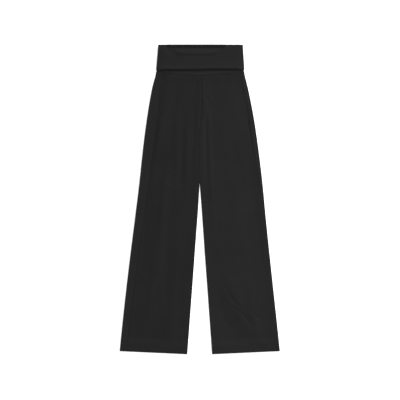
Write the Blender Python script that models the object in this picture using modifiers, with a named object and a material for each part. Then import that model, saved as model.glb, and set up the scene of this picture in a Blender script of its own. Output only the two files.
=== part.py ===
"""Wide-leg jersey trousers with a deep fold-over waistband, laid flat on their back panels.

Metres, +Z up. The garment lies on z = 0 with its front facing up, its waist towards +Y and its
hems towards -Y. The wearer's right leg is at -X. The origin is the middle of the underside, on the
garment's centre line.

Every panel is one wall of cloth. It is laid out as a grid of points halfway through the cloth:
each row is a section across the garment, each column runs along its length. Solidify then gives
the cloth its thickness. A hem and the waistband fold are more rows of the same grid, which turn
back on a small roll.
"""

import math

import bmesh
import bpy
import numpy as np

MM = 0.001

# Cloth, in mm
CLOTH = 1.0  # one ply of jersey
BAND_CLOTH = 1.4  # the waistband is doubled, so its wall is two thinner plies
SEAM_GAP = 0.4  # between two panels where they are sewn together
PLY_GAP = 0.3  # between plies that lie on each other

# Lengths down from the waist fold, in mm
LENGTH = 1100.0  # to the inner corner of each hem
OUTER_LENGTH = 1089.0  # to the outer corner of each hem
FLAP_DEPTH = 88.5  # free edge of the turned-over waistband
SEAM_AT_CENTRE = 114.0  # waist seam at the centre front
SEAM_AT_SIDE = 100.0  # waist seam at the side
CROTCH = 330.0  # where the four leg panels meet
CROTCH_EASE = 75.0  # length over which the centre seams sink towards the crotch
PARTING = 490.0  # the legs lie against each other down to here
HEM_DEPTH = 20.0
HEM_EASE = 35.0  # length over which the cloth settles above the hem

# Heights of the middle of the cloth above the floor, in mm
UNDER = CLOTH / 2  # back panels
RESTING = 1.9  # front panels, lying on the back ones
SIDE_FOLD = 4.6  # top of the soft folds along the sides and the inner legs
WAIST_LEVEL = 3.1  # front panels at the waist seam
HEM_LEVEL = UNDER + 3 * (CLOTH + PLY_GAP)  # front panels over both turned-up hems
SIDE_FOLD_REACH = 13.0  # how far the side folds lift the cloth beside them

BAND_STEP = BAND_CLOTH + PLY_GAP
FLAP_UNDER = BAND_CLOTH / 2
FLAP_LEVEL = FLAP_UNDER + 3 * BAND_STEP
FLAP_LOFT = 1.2  # extra height of the front flap over the ply below it
STAND_FOOT_LEVEL = 2.9  # front of the band's inner ply at the waist seam
WAIST_RISE = 32.0  # length over which the body rises from the waist seam to its own height

# Reach of the outline from the centre line, in mm: down, to the wearer's right, to the left
BAND_OUTLINE = (
    (0.0, 148.0, 153.0),
    (FLAP_DEPTH, 155.5, 158.5),
)
BODY_OUTLINE = (
    (98.0, 155.7, 158.4),
    (109.0, 157.6, 160.0),
    (127.0, 162.6, 164.5),
    (145.0, 167.2, 169.1),
    (163.0, 171.1, 173.1),
    (198.0, 177.7, 180.5),
    (234.0, 183.7, 187.4),
    (269.0, 188.9, 193.6),
    (330.0, 197.2, 202.8),
    (394.0, 204.6, 211.4),
    (486.0, 214.4, 222.4),
    (607.0, 229.2, 233.9),
    (731.0, 245.0, 246.6),
    (874.0, 262.1, 262.0),
    (1016.0, 277.6, 277.3),
    (OUTER_LENGTH, 284.9, 284.9),
)

# How far the legs' inner edges stand from the centre line: down, right leg, left leg
PARTING_OUTLINE = (
    (PARTING, 0.0, 0.0),
    (560.0, 4.3, 4.6),
    (676.0, 13.4, 12.3),
    (740.0, 18.2, 16.6),
    (868.0, 27.4, 26.3),
    (LENGTH, 44.2, 43.7),
)

# The side seams lie on the front, this far in from the side fold: down, right leg, left leg
SIDE_SEAM_INSET = (
    (100.0, 21.0, 12.0),
    (163.0, 26.0, 18.0),
    (210.0, 31.5, 19.0),
    (278.0, 34.0, 20.5),
    (330.0, 33.5, 21.0),
    (394.0, 32.5, 18.0),
    (480.0, 30.5, 13.0),
    (600.0, 27.5, 11.0),
    (750.0, 26.5, 11.0),
    (907.0, 24.0, 11.0),
    (LENGTH, 22.0, 11.0),
)

# The centre seams wander a little: down, place across (positive towards the wearer's left)
CENTRE_SEAM = (
    (100.0, 3.4),
    (230.0, 3.4),
    (300.0, 0.6),
    (360.0, -1.2),
    (480.0, -0.8),
    (560.0, 0.0),
    (LENGTH, 0.0),
)

# Soft folds on the front: across, down, half length, half width, height, lean (mm across per mm)
FOLDS = (
    (-134.0, 620.0, 130.0, 10.0, 2.3, -0.09),
    (-168.0, 860.0, 170.0, 13.0, 1.9, -0.10),
    (-96.0, 900.0, 150.0, 12.0, 1.6, -0.09),
    (-82.0, 330.0, 120.0, 10.0, 1.5, -0.04),
    (-45.0, 410.0, 110.0, 9.0, 1.5, -0.04),
    (-120.0, 240.0, 75.0, 14.0, 0.9, -0.25),
    (16.0, 380.0, 110.0, 6.5, 1.6, 0.01),
    (38.0, 430.0, 130.0, 8.0, 2.0, 0.05),
    (92.0, 330.0, 110.0, 13.0, 0.7, 0.03),
    (140.0, 640.0, 160.0, 16.0, 1.0, 0.09),
    (134.0, 915.0, 80.0, 20.0, 2.3, 0.21),
    (184.0, 930.0, 110.0, 13.0, 1.4, 0.16),
    (120.0, 230.0, 70.0, 14.0, 0.6, 0.30),
)
FOLD_EDGE = 16.0  # a fold dies out this near an edge or a seam

# The flap's free edge
EDGE_DROOP = 3.0  # how much lower its ends hang
EDGE_DROOP_REACH = 30.0
EDGE_RISE = 2.7  # how much higher it lies towards the wearer's left
EDGE_RISE_AT = (2.0, 20.0)  # from here to here across it climbs

# Soft rolls across the flap
SIDE_EASE = 20.0  # length over which the flap rises from its side folds
TOP_ROLL = 3.4  # the fold at the top is higher than the flap below it
TOP_ROLL_FALL = (2.5, 13.5)  # from here to here down the flap it drops
TOP_ROLL_SPAN = (-104.0, 80.0)  # and it is flatter towards the sides
TOP_ROLL_EASE = 20.0
PUFF = 2.2  # height of the roll across the upper half of the flap
PUFF_START = 15.0
PUFF_END = 29.5  # at its middle
PUFF_FALL = 15.0  # length over which it drops to the lower half
PUFF_ENDS_RISE = 10.0  # how much higher its ends lie
PUFF_MIDDLE = -12.0
PUFF_HALF_SPAN = 80.0
PUFF_LEAST_LENGTH = 3.0
PUFF_ENDS = (0.78, 1.08)  # it dies out between these shares of its half span

# Grid
ARC_STEPS = 3  # steps in a quarter turn
FRONT_COLUMNS = 17
FRONT_SPACING = 1.3  # above 1, the columns of the front are closer together near the inner leg
WRAP_COLUMNS = 2
BACK_COLUMNS = 5
BAND_COLUMNS = 15
HIP_ROWS = 9
HIP_SPACING = 1.3  # above 1, the rows of the hip are closer together near the waist
LEG_ROWS = 17
STAND_ROWS = 5
STEP_ROWS = 3  # rows in which the inner ply steps down from the flap to the leg panels
FLAP_ROWS = (0.0, 0.06, 0.15, 0.25, 0.35, 0.48, 0.65, 0.85, 1.0)  # shares of the flap's length
ROLL_STEPS = 4  # steps in the half turn of a hem or of the waistband fold

BLACK = (0.021, 0.021, 0.021, 1.0)
ROUGHNESS = 0.92


def mix(a, b, share):
    return a + (b - a) * share


def smooth(share):
    """0 to 1 with a soft start and end."""
    share = min(max(share, 0.0), 1.0)
    return share * share * (3 - 2 * share)


def curve(table, column):
    """A smooth function through a column of a table whose first column is the distance down."""
    downs = np.array([row[0] for row in table])
    values = np.array([row[column] for row in table])
    slopes = np.gradient(values, downs)

    def value(down):
        i = int(np.clip(np.searchsorted(downs, down) - 1, 0, len(downs) - 2))
        span = downs[i + 1] - downs[i]
        t = min(max((down - downs[i]) / span, 0.0), 1.0)
        hermite = (
            (1 + 2 * t) * (1 - t) ** 2 * values[i]
            + t * (1 - t) ** 2 * span * slopes[i]
            + t * t * (3 - 2 * t) * values[i + 1]
            + t * t * (t - 1) * span * slopes[i + 1]
        )
        return float(hermite)

    return value


centre_seam = curve(CENTRE_SEAM, 1)
body_reach = {-1: curve(BODY_OUTLINE, 1), 1: curve(BODY_OUTLINE, 2)}
band_reach = {-1: curve(BAND_OUTLINE, 1), 1: curve(BAND_OUTLINE, 2)}
parting = {-1: curve(PARTING_OUTLINE, 1), 1: curve(PARTING_OUTLINE, 2)}
seam_inset = {-1: curve(SIDE_SEAM_INSET, 1), 1: curve(SIDE_SEAM_INSET, 2)}


def quarter_turn(sink=1.0):
    """Steps from the tip of a fold, at its mid-height, to its top, as shares of its radius.

    Each step is (inwards from the tip, down from the top). The first stretch stands upright and
    the last one lies flat, so the edges of two panels meet squarely. sink flattens the turn
    towards a plain edge, where two panels are sewn together side by side.
    """
    corner = 1 - math.tan(math.pi / 8)
    steps = ((0.0, 1.0), (0.0, corner), (corner, 0.0), (1.0, 0.0))
    last = len(steps) - 1
    return [(mix(i / last, across, sink), sink * drop) for i, (across, drop) in enumerate(steps)]


def inner_edge(side, down):
    """Distance from the centre line to a leg's inner edge, or to the centre seam above it."""
    return side * centre_seam(down) + SEAM_GAP / 2 + parting[side](down)


def edge_lean(sink, radius):
    """How far a panel's cut edge leans past the middle of its cloth, where its first step sinks."""
    tip, step = quarter_turn(sink)[:2]
    fall = (tip[1] - step[1]) * (radius - SEAM_GAP / 2)
    return CLOTH / 2 * math.sin(math.atan2(fall, (step[0] - tip[0]) * radius))


def folds(x, down, edge_distance):
    """Height that the soft folds add to the front."""
    height = 0.0
    for across, middle, half_length, half_width, peak, lean in FOLDS:
        along = (down - middle) / half_length
        aside = (x - across - lean * (down - middle)) / half_width
        height += peak * math.exp(-(along**2 + aside**2) / 2)
    return height * smooth(edge_distance / FOLD_EDGE)


def levels(down):
    """Heights of the front where it lies on the back, and at the top of the side folds."""
    below_seam = smooth((down - SEAM_AT_SIDE) / WAIST_RISE)
    rest = mix(WAIST_LEVEL, RESTING, below_seam)
    fold = mix(WAIST_LEVEL, SIDE_FOLD, below_seam)
    hem = smooth((down - (OUTER_LENGTH - HEM_DEPTH - HEM_EASE)) / HEM_EASE)
    return mix(rest, HEM_LEVEL, hem), mix(fold, HEM_LEVEL, hem)


def leg_row(side, share, part, inset=0.0, overshoot=0.0):
    """One section of a leg panel, share of the way from the waist seam to the hem.

    inset moves it towards the inside of the leg, for the turned-up hem, and overshoot moves it
    past its place, for the roll of the hem.
    """
    roll = (CLOTH + PLY_GAP + CLOTH) / 2
    down_in = mix(SEAM_AT_CENTRE + SEAM_GAP / 2, LENGTH - roll, share)
    down_out = mix(SEAM_AT_SIDE + SEAM_GAP / 2, OUTER_LENGTH - roll, share)
    sink = smooth((down_in - CROTCH + CROTCH_EASE) / CROTCH_EASE)
    rest, fold = levels(down_out)
    inner_top = mix(rest, fold, sink)
    inner_radius = (inner_top - UNDER) / 2
    outer_radius = (fold - UNDER) / 2
    near = inner_edge(side, down_in) + edge_lean(sink, inner_radius)
    far = body_reach[side](down_out) - CLOTH / 2
    seam = body_reach[side](down_out) - seam_inset[side](down_out)

    def down_at(out):
        u = min(max((out - near) / (far - near), 0.0), 1.0)
        return mix(down_in, down_out, u ** (2 - share))

    def front_height(out):
        from_near = max(0.0, out - near - inner_radius)
        from_far = max(0.0, far - outer_radius - out)
        lift = sink * math.exp(-from_near / SIDE_FOLD_REACH) + math.exp(-from_far / SIDE_FOLD_REACH)
        down = down_at(out)
        from_ends = min(down - SEAM_AT_CENTRE, OUTER_LENGTH - HEM_DEPTH - down)
        room = min(from_near, from_far, from_ends)
        return mix(rest, fold, min(lift, 1.0)) + folds(side * out, down, room) - inset

    points = []
    if part == "front":
        for across, drop in quarter_turn(sink):
            out = near + inner_radius - (inner_radius - inset) * (1 - across)
            fall = (inner_radius - inset - SEAM_GAP / 2) * drop
            points.append((out, inner_top - inset - fall))
        for i in range(1, FRONT_COLUMNS + 1):
            out = mix(near + inner_radius, seam, (i / FRONT_COLUMNS) ** FRONT_SPACING)
            points.append((out, front_height(out)))
    else:
        for i in range(WRAP_COLUMNS):
            out = mix(seam + SEAM_GAP, far - outer_radius, i / WRAP_COLUMNS)
            points.append((out, front_height(out)))
        middle = UNDER + outer_radius
        for i in range(2 * ARC_STEPS + 1):
            angle = math.pi / 2 * (1 - i / ARC_STEPS)
            out = far - outer_radius + (outer_radius - inset) * math.cos(angle)
            points.append((out, middle + (outer_radius - inset) * math.sin(angle)))
        for i in range(1, BACK_COLUMNS):
            out = mix(far - outer_radius, near + inner_radius, i / BACK_COLUMNS)
            points.append((out, UNDER + inset))
        for across, drop in reversed(quarter_turn(sink)):
            out = near + inner_radius - (inner_radius - inset) * (1 - across)
            climb = (inner_radius - inset - SEAM_GAP / 2) * drop
            points.append((out, UNDER + inset + climb))
    return [(side * out, -down_at(out) - overshoot, z) for out, z in points]


def leg_panel(side, part):
    """All rows of a leg panel: down the leg, round the roll of the hem and back up inside."""
    hip_share = (CROTCH - SEAM_AT_CENTRE) / (LENGTH - SEAM_AT_CENTRE)
    ease_share = 1 - (HEM_DEPTH + HEM_EASE) / LENGTH
    hem_share = 1 - HEM_DEPTH / LENGTH
    shares = [hip_share * (i / HIP_ROWS) ** HIP_SPACING for i in range(HIP_ROWS)]
    shares += [mix(hip_share, ease_share, i / LEG_ROWS) for i in range(LEG_ROWS + 1)]
    shares += [mix(ease_share, hem_share, 0.5), hem_share, 1.0]
    rows = [leg_row(side, share, part) for share in shares]
    radius = (CLOTH + PLY_GAP) / 2
    for i in range(1, ROLL_STEPS):
        angle = math.pi * i / ROLL_STEPS
        inset = radius * (1 - math.cos(angle))
        rows.append(leg_row(side, 1.0, part, inset, radius * math.sin(angle)))
    for share in (1.0, mix(hem_share, 1.0, 0.5), hem_share):
        rows.append(leg_row(side, share, part, 2 * radius))
    return rows


def top_roll(x, down):
    """Extra height of the flap near the fold at its top."""
    beyond = max(TOP_ROLL_SPAN[0] - x, x - TOP_ROLL_SPAN[1])
    start, end = TOP_ROLL_FALL
    return TOP_ROLL * (1 - smooth(beyond / TOP_ROLL_EASE)) * (1 - smooth((down - start) / (end - start)))


def puff(x, down):
    """Height of the soft roll across the upper half of the flap, whose lower side sags."""
    from_middle = abs(x - PUFF_MIDDLE) / PUFF_HALF_SPAN
    line = max(PUFF_END - PUFF_ENDS_RISE * from_middle**6, PUFF_START + PUFF_LEAST_LENGTH)
    climb = min(max((down - PUFF_START) / (line - PUFF_START), 0.0), 1.0)
    inner, outer = PUFF_ENDS
    ends = smooth((outer - from_middle) / (outer - inner))
    return PUFF * ends * climb * (1 - smooth((down - line) / PUFF_FALL))


def flap_loft(x, down, edge_distance):
    """Height of the front flap above a tightly pressed one."""
    return (FLAP_LOFT + top_roll(x, down)) * smooth(edge_distance / SIDE_EASE) + puff(x, down)


def band_row(part, down_of, low, high, reach, loft_share=0.0, overshoot=0.0):
    """One section of the waistband, from the right side fold to the left one.

    down_of gives the distance down at each place across, low and high are the heights of this
    ply's back and front, and reach is how far its folds stand from the centre line.
    """
    radius = (high - low) / 2
    right, left = -reach[0], reach[1]
    tips = [(across * radius, drop * (radius - SEAM_GAP / 2)) for across, drop in quarter_turn()]
    points = [(right + across, drop) for across, drop in tips]
    for i in range(1, BAND_COLUMNS):
        points.append((mix(right + radius, left - radius, i / BAND_COLUMNS), 0.0))
    points += [(left - across, drop) for across, drop in reversed(tips)]
    row = []
    for x, drop in points:
        down = down_of(x)
        room = max(0.0, min(x - right, left - x) - radius)
        loft = loft_share * flap_loft(x, down, room)
        z = high - drop + loft if part == "front" else low + drop
        row.append((x, -down + overshoot, z))
    return row


def waist_seam(x):
    """Distance down of the waist seam, which sags towards the centre as the leg panels' tops do."""
    middle = centre_seam(SEAM_AT_CENTRE)
    side = 1 if x > middle else -1
    reach = side * (body_reach[side](SEAM_AT_SIDE) - CLOTH / 2)
    climb = min(1.0, ((x - middle) / (reach - middle)) ** 2)
    return mix(SEAM_AT_CENTRE, SEAM_AT_SIDE, climb) - SEAM_GAP / 2


def free_edge(x):
    """Distance down of the flap's free edge, whose ends droop."""
    from_side = band_reach[1 if x > 0 else -1](FLAP_DEPTH) - abs(x) - FLAP_LEVEL
    start, end = EDGE_RISE_AT
    rise = EDGE_RISE * smooth((x - start) / (end - start))
    return FLAP_DEPTH - rise + EDGE_DROOP * (1 - smooth(from_side / EDGE_DROOP_REACH))


def band_panel(part):
    """All rows of the waistband: up the inner ply, over the fold and down the flap."""
    half_step = BAND_STEP / 2
    fold_down = half_step + BAND_CLOTH / 2
    rows = []
    flap_end = FLAP_DEPTH + EDGE_DROOP + PLY_GAP
    covered = (flap_end - fold_down) / (SEAM_AT_SIDE - fold_down)
    shares = [mix(1.0, covered, i / STEP_ROWS) for i in range(STEP_ROWS)]
    shares += [covered * (1 - i / STAND_ROWS) for i in range(STAND_ROWS + 1)]
    for share in shares:
        down = mix(fold_down, SEAM_AT_SIDE, share)
        settled = smooth((share - covered) / (1 - covered))
        low = mix(FLAP_UNDER + BAND_STEP, FLAP_UNDER, settled)
        high = mix(FLAP_LEVEL - BAND_STEP, STAND_FOOT_LEVEL, settled)
        reach = [
            mix(band_reach[side](down) - BAND_STEP, body_reach[side](down), settled)
            - BAND_CLOTH / 2
            for side in (-1, 1)
        ]
        rows.append(
            band_row(
                part,
                lambda x, share=share: mix(fold_down, waist_seam(x), share),
                low,
                high,
                reach,
            )
        )
    for i in range(1, ROLL_STEPS):
        angle = math.pi * i / ROLL_STEPS
        turned = (1 - math.cos(angle)) / 2
        inset = BAND_STEP * (1 - turned)
        rows.append(
            band_row(
                part,
                lambda x: fold_down,
                FLAP_UNDER + inset,
                FLAP_LEVEL - inset,
                [band_reach[side](0.0) - BAND_CLOTH / 2 - inset for side in (-1, 1)],
                turned,
                half_step * math.sin(angle),
            )
        )
    for share in FLAP_ROWS:
        down = mix(fold_down, FLAP_DEPTH, share)
        reach = [band_reach[side](down) - BAND_CLOTH / 2 for side in (-1, 1)]
        rows.append(
            band_row(
                part,
                lambda x, share=share: mix(fold_down, free_edge(x), share),
                FLAP_UNDER,
                FLAP_LEVEL,
                reach,
                1.0,
            )
        )
    return rows


def jersey():
    """Black cotton jersey."""
    material = bpy.data.materials.new("black_jersey")
    material.use_nodes = True
    shader = material.node_tree.nodes["Principled BSDF"]
    shader.inputs["Base Color"].default_value = BLACK
    shader.inputs["Roughness"].default_value = ROUGHNESS
    shader.inputs["Metallic"].default_value = 0.0
    return material


def cloth_wall(name, rows, thickness, material, collection):
    """A named object from rows of points halfway through the cloth, in mm from the waist fold."""
    points = np.array(rows) * MM
    points[:, :, 1] += LENGTH * MM / 2
    n_rows, n_columns = points.shape[:2]
    mesh = bpy.data.meshes.new(name)
    bm = bmesh.new()
    bmesh.ops.create_grid(bm, x_segments=n_columns - 1, y_segments=n_rows - 1, size=1)
    for vertex, point in zip(bm.verts, points.reshape(-1, 3)):
        vertex.co = point
    bmesh.ops.recalc_face_normals(bm, faces=bm.faces)
    bm.to_mesh(mesh)
    bm.free()
    mesh.materials.append(material)
    mesh.shade_smooth()
    panel = bpy.data.objects.new(name, mesh)
    wall = panel.modifiers.new("cloth", "SOLIDIFY")
    wall.thickness = thickness * MM
    wall.offset = 0.0
    wall.use_even_offset = True
    collection.objects.link(panel)
    return panel


def main():
    for old in list(bpy.data.objects):
        bpy.data.objects.remove(old)
    trousers = bpy.data.collections.new("wide_leg_trousers")
    bpy.context.scene.collection.children.link(trousers)
    black = jersey()
    for side, wearer in ((-1, "right"), (1, "left")):
        for part in ("front", "back"):
            rows = leg_panel(side, part)
            cloth_wall(f"{part}_{wearer}_leg", rows, CLOTH, black, trousers)
    for part in ("front", "back"):
        cloth_wall(f"waistband_{part}", band_panel(part), BAND_CLOTH, black, trousers)


main()
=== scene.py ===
# %% [markdown]
# # Black wide-leg jersey trousers, laid flat
#
# The trousers are sewn from six pieces of fine black jersey: a front and a back panel for each leg,
# and a deep doubled waistband in two halves, turned over to the outside. They lie on their back
# panels with the front up, and we look straight down on them.
#
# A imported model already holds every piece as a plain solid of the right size. This lesson gives
# each piece a finer sheet of cloth on the same form, with its hems, seams, creases, stitching and
# knit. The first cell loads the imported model, which stays fixed.

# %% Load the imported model
import math

import bpy
import numpy as np
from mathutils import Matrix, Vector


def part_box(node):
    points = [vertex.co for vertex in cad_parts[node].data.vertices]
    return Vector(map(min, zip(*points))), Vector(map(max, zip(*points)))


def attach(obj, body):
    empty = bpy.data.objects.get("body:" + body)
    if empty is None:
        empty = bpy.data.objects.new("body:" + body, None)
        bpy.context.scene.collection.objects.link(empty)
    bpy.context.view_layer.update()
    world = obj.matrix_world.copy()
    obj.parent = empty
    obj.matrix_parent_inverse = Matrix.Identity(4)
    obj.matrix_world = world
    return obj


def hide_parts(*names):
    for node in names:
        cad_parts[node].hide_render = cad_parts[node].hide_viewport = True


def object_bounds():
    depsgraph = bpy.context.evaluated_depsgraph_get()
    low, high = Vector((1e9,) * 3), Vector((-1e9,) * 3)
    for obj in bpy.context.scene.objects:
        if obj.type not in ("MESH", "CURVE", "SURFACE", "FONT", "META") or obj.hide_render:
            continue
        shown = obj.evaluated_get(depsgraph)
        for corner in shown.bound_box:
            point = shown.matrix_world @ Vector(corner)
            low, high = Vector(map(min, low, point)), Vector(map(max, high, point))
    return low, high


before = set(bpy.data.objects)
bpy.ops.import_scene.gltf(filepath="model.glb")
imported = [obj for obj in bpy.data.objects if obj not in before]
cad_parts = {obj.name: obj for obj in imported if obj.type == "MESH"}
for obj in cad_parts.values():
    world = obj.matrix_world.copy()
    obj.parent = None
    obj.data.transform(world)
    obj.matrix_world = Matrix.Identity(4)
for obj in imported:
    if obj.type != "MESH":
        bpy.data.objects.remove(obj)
cad_low, cad_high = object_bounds()
print("packed pieces:", ", ".join(sorted(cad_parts)))
print("laid out:", [round((high - low) * 1000, 1) for low, high in zip(cad_low, cad_high)], "mm")

# %% [markdown]
# ## The cutter's sizes
#
# A garment is drafted in millimetres, so its sizes are in millimetres here. Two numbers give a
# place on it: `across`, from the centre line towards the wearer's left, and `down`, from the waist
# fold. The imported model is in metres, with the centre line at X = 0, so one factor and one offset
# take a place on the garment into the frame. Knit, floor and lamps are in metres too.

# %% Units and the place of the waist fold
MM = 0.001
WAIST_FOLD = cad_high.y / MM  # its place along Y, in mm
print(f"waist fold at Y = {WAIST_FOLD:.1f} mm")

# %% [markdown]
# ## Levels
#
# Cloth lying flat still has height: each ply rests on the one below. The levels below are the top
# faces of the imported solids, read from the frame where it gives them, so the fine cloth ends where
# the solids do. Real jersey is thinner than the solids' walls, so it gets its own thickness.

# %% Thickness of the cloth and heights of its top faces
PLY = 0.65  # one ply of jersey
PLY_GAP = 0.25  # between a hem's two plies
SEAM_GAP = 0.08  # between two panels that are sewn together
SEAM_LAP = 0.1  # the waistband overlaps the panels by this much, so no light comes through
BAND_WALL = 1.4  # the doubled waistband
BAND_STEP = 1.7  # from one layer of the waistband to the next

REST_TOP = 2.4  # front panels, lying on the back ones
FOLD_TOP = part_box("back_right_leg")[1].z / MM  # soft folds along the sides
INNER_FOLD_TOP = 2.8  # flatter folds along the inner legs
WAIST_TOP = 3.6  # front panels at the waist seam
HEM_TOP = 4.9  # front panels over both turned-up hems
STAND_FOOT_TOP = 3.6  # front of the waistband's inner ply at the waist seam
FLAP_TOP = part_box("waistband_front")[1].z / MM
print(f"side folds reach {FOLD_TOP:.1f} mm, the turned-over waistband {FLAP_TOP:.1f} mm")

# %% [markdown]
# ## Outline
#
# The outline comes from short tables with one row for each place down the garment where its width
# was judged. A smooth curve runs through each column. Straight lines between the rows would be
# shorter to write, but they would leave a corner at each row of the fine mesh.

# %% Tables of the outline and of the seams
LENGTH = 1100.0  # to the inner corner of each hem
OUTER_LENGTH = 1089.0  # to the outer corner of each hem
FLAP_DEPTH = 88.5  # free edge of the turned-over waistband
SEAM_AT_CENTRE = 114.0  # waist seam at the centre front
SEAM_AT_SIDE = 100.0  # waist seam at the side
BACK_SEAM_DROP = 3.0  # how much lower the back's waist seam dips at the centre
CROTCH = 330.0
CROTCH_EASE = 75.0  # length over which the centre seams sink towards the crotch
PARTING = 490.0  # the legs lie against each other down to here
HEM_DEPTH = 20.0
HEM_EASE = 35.0

# down, reach to the wearer's right, reach to the wearer's left
BAND_OUTLINE = (
    (0, 148, 153),
    (FLAP_DEPTH, 155.5, 158.5),
)
BODY_OUTLINE = (
    (98, 155.7, 158.4),
    (109, 157.6, 160),
    (127, 162.6, 164.5),
    (145, 167.2, 169.1),
    (163, 171.1, 173.1),
    (198, 177.7, 180.5),
    (234, 183.7, 187.4),
    (269, 188.9, 193.6),
    (330, 197.2, 202.8),
    (394, 204.6, 211.4),
    (486, 214.4, 222.4),
    (607, 229.2, 233.9),
    (731, 245, 246.6),
    (874, 262.1, 262),
    (1016, 277.6, 277.3),
    (OUTER_LENGTH, 284.9, 284.9),
)
# down, distance from the centre line to the inner edge of the right leg, of the left leg
PARTING_OUTLINE = (
    (PARTING, 0, 0),
    (560, 4.3, 4.6),
    (676, 13.4, 12.3),
    (740, 18.2, 16.6),
    (868, 27.4, 26.3),
    (LENGTH, 44.2, 43.7),
)
# down, distance in from the side fold on the right leg, on the left leg
SIDE_SEAM_INSET = (
    (100, 21, 12),
    (163, 26, 18),
    (210, 31.5, 19),
    (278, 34, 20.5),
    (330, 33.5, 21),
    (394, 32.5, 18),
    (480, 30.5, 13),
    (600, 27.5, 11),
    (750, 26.5, 11),
    (907, 24, 11),
    (LENGTH, 22, 11),
)
# down, place across
CENTRE_SEAM = (
    (100, 3.4),
    (230, 3.4),
    (300, 0.6),
    (360, -1.2),
    (480, -0.8),
    (560, 0),
    (LENGTH, 0),
)


def mix(a, b, share):
    return a + (b - a) * share


def smooth(share):
    """0 to 1 with a soft start and end."""
    share = np.clip(share, 0.0, 1.0)
    return share * share * (3 - 2 * share)


def curve(table, column):
    """A smooth function through a column of a table whose first column is the distance down."""
    downs = np.array([row[0] for row in table])
    values = np.array([row[column] for row in table])
    slopes = np.gradient(values, downs)

    def value(down):
        i = np.clip(np.searchsorted(downs, down) - 1, 0, len(downs) - 2)
        span = downs[i + 1] - downs[i]
        t = np.clip((down - downs[i]) / span, 0.0, 1.0)
        return (
            (1 + 2 * t) * (1 - t) ** 2 * values[i]
            + t * (1 - t) ** 2 * span * slopes[i]
            + t * t * (3 - 2 * t) * values[i + 1]
            + t * t * (t - 1) * span * slopes[i + 1]
        )

    return value


centre_seam = curve(CENTRE_SEAM, 1)
body_reach = {-1: curve(BODY_OUTLINE, 1), 1: curve(BODY_OUTLINE, 2)}
band_reach = {-1: curve(BAND_OUTLINE, 1), 1: curve(BAND_OUTLINE, 2)}
parting = {-1: curve(PARTING_OUTLINE, 1), 1: curve(PARTING_OUTLINE, 2)}
seam_inset = {-1: curve(SIDE_SEAM_INSET, 1), 1: curve(SIDE_SEAM_INSET, 2)}
print(f"hem, side to side: {body_reach[-1](OUTER_LENGTH) + body_reach[1](OUTER_LENGTH):.0f} mm")

# %% [markdown]
# ## Creases
#
# The cloth isn't ironed flat. Long soft ridges run down the legs, and short creases meet at the
# crotch. Sculpting them with brushes can't be repeated, and a cloth simulation gives folds of its
# own and not these ones. So each crease is one row of a table: its middle, its half length and
# half width, its height (below zero for a trough), the turn of its line away from straight down,
# and how far its line bows. All of them are summed into one height function.

# %% Tables of the creases
# across, down, half length, half width, height, turn in degrees, bow
# A turn above zero takes the line to the wearer's left on its way down.
LONG_FOLDS = (
    (-134, 620, 130, 9, 2.3, -5, 4),
    (-168, 860, 170, 12, 1.9, -6, -6),
    (-96, 900, 150, 12, 1.6, -5, 5),
    (-82, 330, 120, 9, 1.5, -2, 3),
    (-45, 410, 110, 7, 1.5, -2, -2),
    (-120, 240, 75, 12, 0.9, -14, 3),
    (-124, 300, 130, 14, 1, -6.5, 0),
    (-145, 330, 115, 9, 1.8, -8.7, 0),
    (-9, 300, 80, 6, 1.1, 0, 1),
    (7, 200, 80, 4.5, 0.7, 0, 0),
    (8, 390, 110, 5, 1.1, 0.5, 1),
    (36, 430, 130, 6.5, 1.6, 3, 2),
    (92, 330, 110, 13, 0.7, 2, -3),
    (140, 640, 160, 16, 1, 5, -5),
    (134, 915, 80, 20, 2.3, 12, 4),
    (184, 930, 110, 13, 1.4, 9, 3),
    (120, 230, 70, 14, 0.6, 17, -3),
)
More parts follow.
